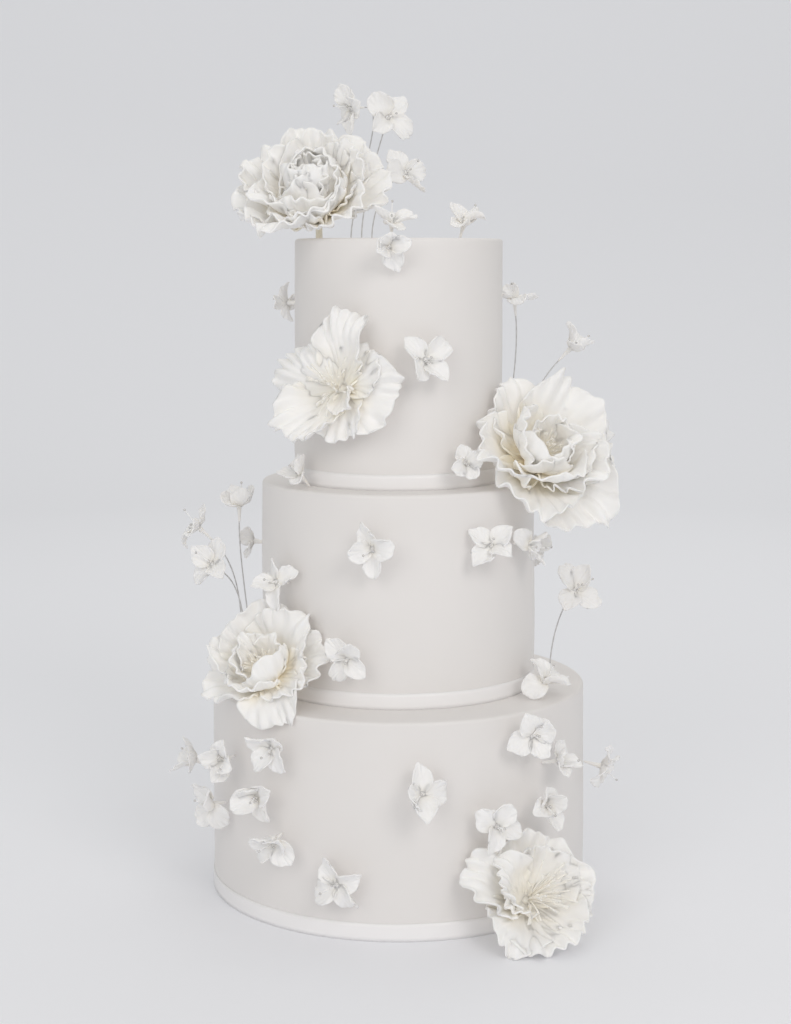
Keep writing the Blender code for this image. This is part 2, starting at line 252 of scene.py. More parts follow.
def grid_normals(points):
    """Unit normals of a (u, v) grid: the cross product of its two slopes."""
    normal = np.cross(np.gradient(points, axis=0), np.gradient(points, axis=1))
    return normal / np.maximum(np.linalg.norm(normal, axis=2, keepdims=True), 1e-12)


def shell(points, thickness, tint):
    """A closed thin sheet round a (u, v) grid.

    The two faces are the grid moved half the thickness along its normals, to either side.
    Between them runs a strip round the grid's border, bulged outwards by a third of the
    thickness, so that the edge is round. tint, the amount of painted shade, is one value for
    each point.
    """
    rows, columns = points.shape[:2]
    count = rows * columns
    offset = grid_normals(points) * (thickness / 2)[..., None]
    number = np.arange(count).reshape(rows, columns)
    border = np.concatenate((number[:-1, 0], number[-1, :-1], number[:0:-1, -1], number[0, :0:-1]))
    row, column = border // columns, border % columns
    flat = points.reshape(-1, 3)
    inner = number[np.clip(row, 1, rows - 2), np.clip(column, 1, columns - 2)]
    outwards = flat[border] - flat[inner]
    outwards /= np.maximum(np.linalg.norm(outwards, axis=1, keepdims=True), 1e-9)
    bulge = flat[border] + outwards * thickness.ravel()[border, None] / 3
    corners = np.concatenate(((points + offset).reshape(-1, 3), (points - offset).reshape(-1, 3),
                              bulge))
    front = grid_quads(rows, columns)
    middle = 2 * count + np.arange(len(border))
    after, middle_after = np.roll(border, -1), np.roll(middle, -1)
    rim = np.concatenate((np.stack((after, border, middle, middle_after), axis=-1),
                          np.stack((middle_after, middle, border + count, after + count), axis=-1)))
    quads = np.concatenate((front, front[:, ::-1] + count, rim))
    shade = tint.ravel()
    return corners, [quads], np.concatenate((shade, shade, shade[border]))


def tube(path, radii, sides, tint=0.0):
    """A round closed tube along a path: a ring at each point, across the path's direction.

    Each ring is centre + radius (cos t * first + sin t * second), with first kept square to
    the path.
    """
    path = np.asarray(path, float)
    along = np.gradient(path, axis=0)
    along /= np.linalg.norm(along, axis=1, keepdims=True)
    least = np.eye(3)[np.argmin(np.abs(along).max(axis=0))]
    first = least - (along @ least)[:, None] * along
    first /= np.linalg.norm(first, axis=1, keepdims=True)
    second = np.cross(along, first)
    turn = np.linspace(0.0, TAU, sides, endpoint=False)
    rings = (path[:, None] + np.asarray(radii)[:, None, None]
             * (np.cos(turn)[None, :, None] * first[:, None]
                + np.sin(turn)[None, :, None] * second[:, None]))
    return revolve_rings(rings, tint)


def revolve_rings(rings, tint=0.0):
    """Closed skin over a stack of rings: quads between rings, a fan on each end ring. tint
    is one value for all its points."""
    count, sides = rings.shape[:2]
    corners = np.concatenate((rings.reshape(-1, 3), rings[:1].mean(axis=1), rings[-1:].mean(axis=1)))
    quads = grid_quads(count, sides, close_columns=True)[:, ::-1]
    step = np.arange(sides)
    after = np.roll(step, -1)
    first_pole, last_pole = count * sides, count * sides + 1
    last = (count - 1) * sides
    low = np.stack((after, step, np.full(sides, first_pole)), axis=-1)
    high = np.stack((step + last, after + last, np.full(sides, last_pole)), axis=-1)
    return corners, [quads, low, high], np.full(len(corners), tint)


def ball(centre, radius, axes, rings=8, sides=10):
    """A sphere: the ring at latitude b has its radius times cos b and stands at sin b."""
    latitude = np.linspace(-0.5, 0.5, rings + 2)[1:-1] * math.pi
    turn = np.linspace(0.0, TAU, sides, endpoint=False)
    spot = np.stack((np.cos(latitude)[:, None] * np.cos(turn),
                     np.cos(latitude)[:, None] * np.sin(turn),
                     np.sin(latitude)[:, None] * np.ones(sides)), axis=-1)
    return revolve_rings(centre + radius * (spot @ axes))


def add_piece(name, parts, materials, stands_for=(), kinds=None, uv=None):
    """One mesh piece from parts (corners, groups of faces, tints), riding on the cake.

    kinds gives each part's number in materials. The tints, the amount of painted shade at
    each point, go into a point attribute, which the petals' materials read.
    """
    corners, faces, tints, finish, base = [], [], [], [], 0
    for index, (points, groups, tint) in enumerate(parts):
        for group in groups:
            faces += (group + base).tolist()
            finish += [kinds[index] if kinds else 0] * len(group)
        corners.append(points)
        tints.append(tint)
        base += len(points)
    mesh = bpy.data.meshes.new(name)
    mesh.from_pydata(np.concatenate(corners), [], faces)
    mesh.polygons.foreach_set("material_index", finish)
    painted_shade = mesh.attributes.new("painted_shade", "FLOAT", "POINT")
    painted_shade.data.foreach_set("value", np.concatenate(tints).astype(np.float32))
    if uv is not None:
        corner_of = np.empty(len(mesh.loops), np.int32)
        mesh.loops.foreach_get("vertex_index", corner_of)
        mesh.uv_layers.new(name="along").data.foreach_set("uv", uv[corner_of].ravel())
    mesh.shade_smooth()
    for material in materials:
        mesh.materials.append(material)
    piece = bpy.data.objects.new(name, mesh)
    bpy.context.scene.collection.objects.link(piece)
    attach(piece, "root")
    if stands_for:
        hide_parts(*stands_for)
    return piece


# ---------------------------------------------------------------- materials

def linear(hex_colour):
    """An sRGB hex colour as linear red, green, blue and full alpha."""
    parts = [int(hex_colour[i:i + 2], 16) / 255 for i in (1, 3, 5)]
    return tuple(c / 12.92 if c <= 0.04045 else ((c + 0.055) / 1.055) ** 2.4
                 for c in parts) + (1.0,)


def add_node(tree, kind, links=(), **settings):
    """A node with its settings: names of properties, or of input sockets with _ for spaces.

    links are (input name, other node, output name).
    """
    node = tree.nodes.new(kind)
    for name, value in settings.items():
        if hasattr(node, name):
            setattr(node, name, value)
        else:
            node.inputs[name.replace("_", " ")].default_value = value
    for socket, other, output in links:
        tree.links.new(other.outputs[output], node.inputs[socket])
    return node


def new_material(name, **shader_settings):
    """A material with one Principled shader; returns it, its tree and the shader."""
    material = bpy.data.materials.new(name)
    material.use_nodes = True
    tree = material.node_tree
    shader = tree.nodes["Principled BSDF"]
    for socket, value in shader_settings.items():
        shader.inputs[socket.replace("_", " ")].default_value = value
    return material, tree, shader


def fondant_material():
    """Rolled fondant: sugar paste polished with a smoother. It gives a soft, even, almost
    white satin, with faint cloudy patches and the ghost of the smoother's strokes."""
    material, tree, shader = new_material("rolled_fondant", Roughness=0.46, IOR=1.46,
                                          Coat_Weight=0.06, Coat_Roughness=0.35)
    place = add_node(tree, "ShaderNodeTexCoord")
    clouds = add_node(tree, "ShaderNodeTexNoise", [("Vector", place, "Object")],
                      Scale=14.0, Detail=3.0, Roughness=0.5)
    tone = add_node(tree, "ShaderNodeMix", [("Factor", clouds, "Fac")], data_type="RGBA",
                    A=linear("#E7E4E2"), B=linear("#ECE9E7"))
    tree.links.new(tone.outputs["Result"], shader.inputs["Base Color"])
    # Sugar grain, drawn 1.5 mm across so that it can show, and upright strokes, 17 mm wide
    # and four times as long.
    grain = add_node(tree, "ShaderNodeTexNoise", [("Vector", place, "Object")],
                     Scale=650.0, Detail=2.0)
    stretch = add_node(tree, "ShaderNodeMapping", [("Vector", place, "Object")],
                       Scale=(1.0, 1.0, 0.25))
    strokes = add_node(tree, "ShaderNodeTexNoise", [("Vector", stretch, "Vector")],
                       Scale=60.0, Detail=1.0)
    fine = add_node(tree, "ShaderNodeBump", [("Height", grain, "Fac")],
                    Strength=0.10, Distance=0.05 * MM)
    broad = add_node(tree, "ShaderNodeBump", [("Height", strokes, "Fac"), ("Normal", fine, "Normal")],
                     Strength=0.25, Distance=0.4 * MM)
    tree.links.new(broad.outputs["Normal"], shader.inputs["Normal"])
    return material


def petal_material(name, edge, painted_shade_colour, roughness, grain):
    """Sugar flower paste rolled thin and dusted with cornflour: matt and white at the edge.
    Towards each petal's base the colour turns to a warmer, greyer tone: painted shade for
    the deep parts of the flower, where light passes through and between thin layers. Its
    grain is drawn 1 mm across so that it can show."""
    material, tree, shader = new_material(name, Roughness=roughness, IOR=1.45,
                                          Sheen_Weight=0.12, Sheen_Roughness=0.6,
                                          Subsurface_Weight=0.5, Subsurface_Scale=2.0 * MM,
                                          Subsurface_Radius=(1.0, 0.97, 0.90))
    painted_shade = add_node(tree, "ShaderNodeAttribute", attribute_name="painted_shade")
    place = add_node(tree, "ShaderNodeTexCoord")
    clouds = add_node(tree, "ShaderNodeTexNoise", [("Vector", place, "Object")],
                      Scale=90.0, Detail=2.0)
    # The clouds shift the line between the edge colour and the painted shade by up to 0.12 either way.
    shift = add_node(tree, "ShaderNodeMath", [(0, clouds, "Fac")], operation="MULTIPLY_ADD")
    shift.inputs[1].default_value = 0.24
    shift.inputs[2].default_value = -0.12
    amount = add_node(tree, "ShaderNodeMath", [(0, painted_shade, "Fac"), (1, shift, "Value")],
                      operation="ADD", use_clamp=True)
    # B is painted shade: the warmer, greyer tone laid on towards each petal's base.
    tone = add_node(tree, "ShaderNodeMix", [("Factor", amount, "Value")], data_type="RGBA",
                    A=linear(edge), B=linear(painted_shade_colour))
    tree.links.new(tone.outputs["Result"], shader.inputs["Base Color"])
    dust = add_node(tree, "ShaderNodeTexNoise", [("Vector", place, "Object")],
                    Scale=1.0 / grain, Detail=2.0)
    bump = add_node(tree, "ShaderNodeBump", [("Height", dust, "Fac")],
                    Strength=0.20, Distance=0.08 * MM)
    tree.links.new(bump.outputs["Normal"], shader.inputs["Normal"])
    return material


def satin_material():
    """Woven satin ribbon: long floats of bright thread. It gives a smooth band with a
    highlight stretched along it. Threads are drawn 0.45 mm apart so that they can show."""
    material, tree, shader = new_material("satin_ribbon", Roughness=0.34, IOR=1.5,
                                          Anisotropic=0.55, Sheen_Weight=0.15)
    along = add_node(tree, "ShaderNodeUVMap", uv_map="along")
    threads = add_node(tree, "ShaderNodeTexWave", [("Vector", along, "UV")],
                       bands_direction="Y", Scale=700.0, Distortion=0.6, Detail=1.0)
    tone = add_node(tree, "ShaderNodeMix", [("Factor", threads, "Fac")], data_type="RGBA",
                    A=linear("#F2F0F0"), B=linear("#F9F8F8"))
    tree.links.new(tone.outputs["Result"], shader.inputs["Base Color"])
    bump = add_node(tree, "ShaderNodeBump", [("Height", threads, "Fac")],
                    Strength=0.10, Distance=0.03 * MM)
    tree.links.new(bump.outputs["Normal"], shader.inputs["Normal"])
    return material


def pearl_material():
    """Lustre-dusted sugar pearl: a glossy grey-white bead with a hard small highlight."""
    material, tree, shader = new_material("sugar_pearl", Roughness=0.22, IOR=1.5, Metallic=0.2,
                                          Coat_Weight=0.5, Coat_Roughness=0.12)
    place = add_node(tree, "ShaderNodeTexCoord")
    clouds = add_node(tree, "ShaderNodeTexNoise", [("Vector", place, "Object")], Scale=800.0)
    tone = add_node(tree, "ShaderNodeMix", [("Factor", clouds, "Fac")], data_type="RGBA",
                    A=linear("#C9C7C4"), B=linear("#DEDCDA"))
    tree.links.new(tone.outputs["Result"], shader.inputs["Base Color"])
    return material


def wire_material():
    """Florist's wire wound in pale paper: matt, with the paper's slanting laps. They are
    drawn 6 mm apart so that they can show."""
    material, tree, shader = new_material("paper_wound_wire", Roughness=0.6, IOR=1.45)
    along = add_node(tree, "ShaderNodeUVMap", uv_map="along")
    laps = add_node(tree, "ShaderNodeTexWave", [("Vector", along, "UV")],
                    bands_direction="DIAGONAL", Scale=100.0, Distortion=0.4)
    tone = add_node(tree, "ShaderNodeMix", [("Factor", laps, "Fac")], data_type="RGBA",
                    A=linear("#C6C6C6"), B=linear("#D2D2D2"))
    tree.links.new(tone.outputs["Result"], shader.inputs["Base Color"])
    bump = add_node(tree, "ShaderNodeBump", [("Height", laps, "Fac")],
                    Strength=0.4, Distance=0.05 * MM)
    tree.links.new(bump.outputs["Normal"], shader.inputs["Normal"])
    return material


# ---------------------------------------------------------------- tiers and bands

def add_tier(tier, fondant):
    """A drum of fondant: a profile turned round the axis.

    The profile runs from the middle of the underside, out, round a sharp edge, up the wall,
    over a round edge and back to the middle of the top. The wall swells and dips by a
    fraction of a millimetre in two slow waves, as hand-smoothed paste does, but not at the
    foot, where the ribbon lies.
    """
    radius, foot, top = tier_size(tier)
    edge, low_edge = 2.5 * MM, 0.3 * MM
    sides, under, over = 240, 12, 14
    bend = np.linspace(0.0, math.pi / 2, 9)
    wall = np.linspace(foot + low_edge, top - edge, 30)[1:-1]
    reach = np.concatenate((np.linspace(0.02, 0.96, under) * radius,
                            radius - low_edge + low_edge * np.sin(bend), np.full(len(wall), radius),
                            radius - edge + edge * np.cos(bend),
                            np.linspace(0.94, 0.02, over) * radius))
    height = np.concatenate((np.full(under, foot), foot + low_edge - low_edge * np.cos(bend), wall,
                             top - edge + edge * np.sin(bend), np.full(over, top)))
    turn = np.linspace(0.0, TAU, sides, endpoint=False)
    phase = radius * 90.0    # differs from tier to tier, so that their waves do
    wave = (0.25 * np.sin(3 * turn[None] + phase + height[:, None] * 30)
            + 0.18 * np.sin(7 * turn[None] - phase + height[:, None] * 55)) * MM
    wave = wave * smooth_step(12.0 * MM, 30.0 * MM, height - foot)[:, None]
    across = reach[:, None] + (wave - FONDANT_INSET) * (reach / radius)[:, None] ** 6
    rings = np.stack((across * np.cos(turn), across * np.sin(turn),
                      height[:, None] * np.ones(sides)), axis=-1)
    add_piece(f"fondant_{tier}", [revolve_rings(rings)], [fondant],
              [f"tier_{tier}"])


def add_band(tier, satin):
    """A satin ribbon round the foot of a tier: a thin upright strip carried round the wall.

    Its section is a closed loop of eight points, with a slightly crowned face. The height
    of its upper edge wavers a little, and at the back the end laps over the start.
    """
    radius, tier_low, _ = tier_size(tier)
    _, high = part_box(f"band_{tier}")
    inner, outer = radius - FONDANT_INSET + 0.05 * MM, radius - 0.10 * MM
    crown, lap_rise = 0.03 * MM, 0.40 * MM
    sides, lap = 260, math.radians(9)
    turn = np.linspace(-lap / 2, TAU + lap / 2, sides)
    # Along the last of its way round, the end climbs on to the start.
    part = (turn - turn[0]) / (turn[-1] - turn[0])
    rise = np.where(turn > TAU - lap, lap_rise * np.clip((part - 0.95) / 0.03, 0.0, 1.0), 0.0)
    waver = 0.10 * MM * np.sin(5 * turn) + 0.06 * MM * np.sin(11 * turn + 1.0)
    # Past the small gap under its tier, down to what the tier stands on.
    foot = max(tier_low - 0.35 * MM, 0.0)
    tall = high.z - 0.2 * MM - foot
    section = np.array(((outer, 0.0), (outer + crown, 0.25), (outer + crown, 0.75),
                        (outer, 1.0), (inner, 1.0), (inner, 0.75), (inner, 0.25), (inner, 0.0)))
    reach = section[None, :, 0] + rise[:, None]
    height = foot + section[None, :, 1] * (tall + waver[:, None])
    rings = np.stack((reach * np.sin(turn)[:, None], reach * np.cos(turn)[:, None], height), axis=-1)
    corners, faces, tint = revolve_rings(rings)
    uv = np.zeros((len(corners), 2))
    uv[:-2, 0] = np.repeat(turn * radius, len(section))
    uv[:-2, 1] = (height - foot).ravel()
    ribbon = add_piece(f"satin_ribbon_{tier}", [(corners, faces, tint)], [satin],
                       [f"band_{tier}"], uv=uv)


# ---------------------------------------------------------------- blossoms

def petal(length, width, lean, tip_lean, dice, *, cup, twist, roll, curl, ruffle, frills,
          pleat, pleats, grid, point=0.0, waist=0.26):
    """The middle surface of one petal; the flower's axis is +Z and the petal reaches +X.

    A square (u, v) is rounded off to half a disc: s = v sqrt(1 - u^2 / 2) along the petal
    and a = u sqrt(1 - v^2 / 2) across it, with a point at the end and a narrow waist at the
    base. Each lengthwise line leans out from the axis by an angle that goes from lean to
    tip_lean, and near the rim rolls to and fro by a wave of t, the place round the rim;
    reach and rise are running sums of that angle's sine and cosine. Across, the sheet is
    bent round a circle by the cup angle, pleated along lines of equal t, ruffled by waves
    of t that grow towards the rim, and turned by twist about its midrib. Returns the
    points and s.
    """
    u = np.linspace(-1.0, 1.0, grid[0])[:, None]
    v = np.linspace(0.0, 1.0, grid[1])[None, :]
    p, q, r = (dice.uniform(0, TAU) for _ in range(3))
    along, aside = v * np.sqrt(1.0 - u * u / 2), u * np.sqrt(1.0 - v * v / 2)
    from_base = np.hypot(along, aside)
    t = np.arctan2(aside, along + 0.12)
    s = along * (1.0 + (point * np.exp(-(u / 0.24) ** 2) + 0.04 * np.sin(4.0 * u + p)) * v ** 4)
    # Three waves round the rim, with about 4, 11 and frills radians of phase for each of t.
    wide = np.sin(4.2 * t + r)
    middle = np.sin(11.0 * t + p + 0.8 * np.sin(3.0 * t + q))
    tight = np.sin(frills * t + q + 1.3 * np.sin(4.0 * t + p)) * (0.75 + 0.25 * np.sin(7.0 * t + r))
    angle = (lean + (tip_lean - lean) * s ** 1.15
             + (curl + 0.8 * roll * wide) * smooth_step(0.55, 1.05, s)
             + roll * middle * smooth_step(0.74, 1.02, s))
    step = np.diff(s, axis=1, prepend=0.0) * length
    out = np.cumsum(np.sin(angle) * step, axis=1)
    high = np.cumsum(np.cos(angle) * step, axis=1)
    half = width / 2 * 1.15 * (waist + (1.0 - waist)
                               * np.sin(math.pi / 2 * np.clip(s / 0.72, 0, 1)) ** 0.9)
    across = aside * half
    circle = width / 2 / cup
    bend = across / circle
    across, inward = circle * np.sin(bend), circle * (1.0 - np.cos(bend))
    inward = inward + ruffle * length * ((0.6 * wide + 0.8 * middle) * smooth_step(0.55, 1.0, from_base)
                                         + tight * smooth_step(0.58, 1.0, from_base))
    # Soft lumps all over, and the pleats, which both fade towards the base.
    lump = 0.022 * length * np.sin(5.0 * s + 2.2 * u + r) * np.sin(3.4 * u - 4.0 * s + p)
    ridge = pleat * np.cos(pleats * t + 2.2 * np.sin(3.0 * t + p)) * (0.6 + 0.4 * np.sin(5.0 * t + q))
    inward = inward + (lump + ridge) * smooth_step(0.15, 0.55, from_base)
    turn = twist * s
    across, inward = (across * np.cos(turn) - inward * np.sin(turn),
                      across * np.sin(turn) + inward * np.cos(turn))
    points = np.stack((out - inward * np.cos(angle), across, high + inward * np.sin(angle)), axis=-1)
    return points, s


def turned(points, angle):
    """Points turned round +Z."""
    cos, sin = math.cos(angle), math.sin(angle)
    x, y = points[..., 0], points[..., 1]
    return np.stack((x * cos - y * sin, x * sin + y * cos, points[..., 2]), axis=-1)


def add_blossom(number, throat, azimuth, lift, roll, length, neck, petals):
    """Four petals on a neck; returns its throat, axes and petal length.

    Each petal's place, size and lift are drawn as its solid's are, and its folds on their own.
    """
    shape_dice, fine_dice = random.Random(number), random.Random(1000 + number)
    axes, parts = facing(azimuth, lift, roll), []
    for quarter in range(4):
        middle = quarter * math.pi / 2 + shape_dice.uniform(-0.16, 0.16)
        size = length * shape_dice.uniform(1.0, 1.16)
        rise = shape_dice.uniform(-0.35, 1.15)
        bow = fine_dice.uniform(-0.65, 0.60)
        points, s = petal(size, 1.08 * size, math.pi / 2 - rise - bow / 2, math.pi / 2 - rise + bow,
                          fine_dice, cup=fine_dice.uniform(0.25, 1.45),
                          twist=fine_dice.uniform(-0.9, 0.9), roll=0.20,
                          curl=fine_dice.uniform(-0.4, 0.8), ruffle=0.022, frills=16.0,
                          pleat=0.26 * MM, pleats=22.0, grid=(33, 17), point=0.07, waist=0.34)
        points = points + np.array((0.09 * length, 0.0, -0.06 * length))
        thickness = (1.10 - 0.30 * s) * MM
        # Painted shade: towards each petal's base, in the throat, the colour turns to the greyer,
        # warmer shade tone.
        painted_shade = np.clip(0.8 - s / 0.5, 0.0, 1.0)
        parts.append(shell(turned(points, middle), thickness, painted_shade))
    along = np.linspace(0.0, 1.0, 12)
    level = np.zeros_like(along)
    line = np.stack((level, level, -neck + along * (neck - 0.02 * length)), axis=-1)
    radii = (0.9 + 1.5 * along ** 1.8) * MM
    radii[0] *= 0.75
    # The neck takes the painted shade tone at 0.35 of full strength.
    parts.append(tube(line, radii, 12, 0.35))
    placed = [(throat + corners @ axes, faces, tint) for corners, faces, tint in parts]
    add_piece(f"sugar_blossom_{number:02d}", placed, [petals],
              [f"blossom_{number:02d}"])
    return throat, axes, length


def stamens(flower, number):
    """Stiff stamens with a pearl each: one long, one or two short, fanned from the throat.

    Returns the parts and, for each, its number in the materials: 0 thread, 1 pearl.
    """
    throat, axes, length = flower
    thread_radius, pearl_radius = 0.40 * MM, 0.95 * MM
    dice, parts, kinds = random.Random(500 + number), [], []
    for reach in [dice.uniform(0.85, 1.15)] + [dice.uniform(0.25, 0.5)] * dice.choice((1, 2)):
        lean, turn = dice.uniform(0.05, 0.45), dice.uniform(0, TAU)
        way = np.array((math.sin(lean) * math.cos(turn), math.sin(lean) * math.sin(turn),
                        math.cos(lean))) @ axes
        along = np.linspace(0.0, 1.0, 6)[:, None]
        start = throat - axes[2] * 0.12 * length
        line = start + way * along * reach * length
        parts.append(tube(line, np.full(len(line), thread_radius), 8))
        parts.append(ball(line[-1], pearl_radius, axes))
        kinds += [0, 1]
    return parts, kinds


def cubic(foot, first, second, end, count):
    """Points on a cubic curve from foot to end, steered by first and second."""
    t = np.linspace(0.0, 1.0, count)[:, None]
    s = 1.0 - t
    return s ** 3 * foot + 3 * s * s * t * first + 3 * s * t * t * second + t ** 3 * end


def add_wire(number, foot, end, along, wire):
    """A florist's wire: upright at its foot, running into the neck of its blossom.

    Its UV map is the length along the wire and the way round it, in metres, with the way
    round taken at 0.4 mm, the wire under its paper.
    """
    count, sides, radius = 48, 10, 0.50 * MM
    reach = np.linalg.norm(end - foot) / 3
    up = np.array((0.0, 0.0, reach))
    line = cubic(foot, foot + up, end - along * reach, end, count)
    corners, faces, tint = tube(line, np.full(count, radius), sides)
    steps = np.concatenate(((0.0,), np.cumsum(np.linalg.norm(np.diff(line, axis=0), axis=1))))
    uv = np.zeros((len(corners), 2))
    uv[:-2, 0] = np.repeat(steps, sides)
    uv[:-2, 1] = np.tile(np.arange(sides) / sides * TAU * 0.4 * MM, count)
    add_piece(f"flower_wire_{number:02d}", [(corners, faces, tint)], [wire],
              [f"wire_{number:02d}"], uv=uv)


def neck_length(distance, slope):
    """Neck from a throat to a surface at a distance, met at a slope (cosine)."""
    return (distance - SEAT) / slope


def add_blossoms(petals, pearl, wire):
    """Every blossom on its neck, the wires, and all the blossoms' stamens as one piece."""
    parts, kinds = [], []

    def grow(number, throat, azimuth, lift, roll, length, neck):
        flower = add_blossom(number, throat, azimuth, lift, roll, length * MM, neck, petals)
        more, which = stamens(flower, number)
        parts.extend(more)
        kinds.extend(which)

    for number, tier, azimuth, height, turn, lift, roll, length in WALL_BLOSSOMS:
        radius, foot, _ = tier_size(tier)
        away = outward(azimuth)
        throat = away * (radius + WALL_DISTANCE) + np.array((0.0, 0.0, foot + height * MM))
        neck = neck_length(WALL_DISTANCE, float(outward(azimuth + turn, lift) @ away))
        grow(number, throat, azimuth + turn, lift, roll, length, neck)
    for number, tier, x, y, height, azimuth, lift, roll, length in LEDGE_BLOSSOMS:
        throat = np.array((x * MM, y * MM, tier_size(tier)[2] + height * MM))
        neck = neck_length(height * MM, float(outward(azimuth, lift)[2]))
        grow(number, throat, azimuth, lift, roll, length, neck)
    for number, x, y, z, azimuth, lift, roll, length, tier, foot_x, foot_y in WIRED_BLOSSOMS:
        throat, look = np.array((x, y, z)) * MM, outward(azimuth, lift)
        grow(number, throat, azimuth, lift, roll, length, NECK_ON_WIRE)
        foot = np.array((foot_x * MM, foot_y * MM, tier_size(tier)[2]))
        add_wire(number, foot, throat - look * (NECK_ON_WIRE - 1.0 * MM), look, wire)
    add_piece("pearl_stamens", parts, [petals, pearl], kinds=kinds)


# ---------------------------------------------------------------- peonies

def keep_off_tiers(points, clearance):
    """Moves points that lie inside a tier out through its nearer side: wall or top.

    A point less than margin under a tier's foot counts as inside the tier, so that a petal
    doesn't tuck under it. Points under the floor are raised on to it.
    """
    margin = 20.0 * MM
    for tier in TIERS:
        radius, foot, top = tier_size(tier)
        wall, roof = radius + clearance, top + clearance
        out = np.maximum(np.hypot(points[..., 0], points[..., 1]), 1e-6)
        within = (out < wall) & (points[..., 2] < roof) & (points[..., 2] > foot - margin)
        upward = within & (roof - points[..., 2] < wall - out)
        sideways = within & ~upward
        scale = np.where(sideways, wall / out, 1.0)
        points[..., 0] *= scale
        points[..., 1] *= scale
        points[..., 2] = np.where(upward, roof, points[..., 2])
    points[..., 2] = np.maximum(points[..., 2], clearance)
    return points


def peony_threads(radius, count, reach_most, fan, spread, dice):
    """The tuft of stamens: thin bent threads that fan out of the heart round the turn fan
    (degrees), each with a thicker tip. A thread's reach and rise are running sums of the
    sine and cosine of its lean, which grows along it."""
    parts, stops = [], 9
    for _ in range(count):
        lean, turn = dice.uniform(0.1, 1.25), math.radians(fan + dice.uniform(-spread, spread))
        reach = radius * dice.uniform(0.55, 1.0) * reach_most
        along = np.linspace(0.0, 1.0, stops)
        angle = lean * (0.5 + 0.6 * along)
        out = np.cumsum(np.sin(angle)) * reach / stops + 0.02 * radius
        high = np.cumsum(np.cos(angle)) * reach / stops + 0.06 * radius
        line = np.stack((out, np.zeros(stops), high), axis=-1)
        radii = (0.32 + 0.40 * smooth_step(0.80, 0.92, along)) * MM
        # Each thread takes the painted shade tone at half strength.
        corners, faces, tint = tube(line, radii, 6, 0.5)
        parts.append((turned(corners, turn), faces, tint))
    return parts


def add_peony(name, calyx, azimuth, lift, rim, tier, hold, spot, petals):
    """Whorls of petals round a tuft of threads, over a calyx on a stalk to the cake.

    A petal that would dig into a tier is raised, five degrees at a time, till it lies on it.
    The painted cream shade in the heart is weaker on the peonies on a wall than on those
    on a ledge.
    """
    clearance, most_moved, thread_count, stalk_stops = 0.8 * MM, 2.5 * MM, 42, 24
    radius, tier_low, tier_high = tier_size(tier)
    # The second value set here is the strength of the painted shade at the petals' bases.
    if hold == "wall":
        foot = outward(spot[0]) * radius + np.array((0, 0, tier_low + spot[1] * MM))
        inward, painted_shade_strength = -outward(spot[0]), 0.65
    else:
        foot = np.array((spot[0] * MM, spot[1] * MM, tier_high))
        inward, painted_shade_strength = np.array((0.0, 0.0, -1.0)), 1.0
    centre, axes, size = np.array(calyx) * MM, facing(azimuth, lift), rim * MM
    dice, parts = random.Random(name), []
    for turn, length, width, lean, tip_lean, cup, curl in PEONY_PETALS[name]:
        angle = math.radians(turn + dice.uniform(-5, 5))
        grow = size * dice.uniform(0.95, 1.04)
        lean, tip_lean = lean + dice.uniform(-4, 4), tip_lean + dice.uniform(-8, 8)
        grid = (61, 33 if length > 0.9 else 25)    # a short petal needs fewer points along it
        drawn = dice.getstate()
        for rise in range(0, 45, 5):
            dice.setstate(drawn)
            points, s = petal(length * grow, width * grow, math.radians(lean - rise),
                              math.radians(tip_lean - 1.5 * rise), dice, cup=cup,
                              twist=dice.uniform(0.05, 0.30), roll=0.46 + 0.36 * curl,
                              curl=curl + dice.uniform(-0.15, 0.15),
                              ruffle=min(0.022 + 0.068 * curl, 0.062), frills=25.0,
                              pleat=0.60 * MM, pleats=24.0, grid=grid)
            points = points + np.array((0.03 * size, 0.0, -0.06 * size))
            free = centre + turned(points, angle) @ axes
            points = keep_off_tiers(free.copy(), clearance)
            if np.abs(points - free).max() < most_moved:
                break
        thickness = (1.35 - 0.15 * s) * MM
        # Painted shade: a warm cream tone at each petal's base that fades out a little past its middle.
        parts.append(shell(points, thickness, painted_shade_strength * np.clip(1.1 - s / 0.55, 0.0, 1.0)))
    tuft = peony_threads(size, thread_count, *PEONY_THREADS[name], dice)
    parts += [(centre + corners @ axes, faces, tint) for corners, faces, tint in tuft]
    base = centre - axes[2] * 0.10 * size
    line = cubic(foot + inward * 0.5 * MM, foot - inward * 4 * MM, base - axes[2] * 4 * MM,
                 centre - axes[2] * 0.03 * size, stalk_stops)
    swell = smooth_step(0.55, 1.0, np.linspace(0, 1, stalk_stops))
    # The stalk takes the painted shade tone at 0.8 of full strength.
    parts.append(tube(line, (2.5 + 3.5 * swell) * MM, 16, 0.8))
    add_piece(f"sugar_{name}", parts, [petals], [name])


# ---------------------------------------------------------------- stage

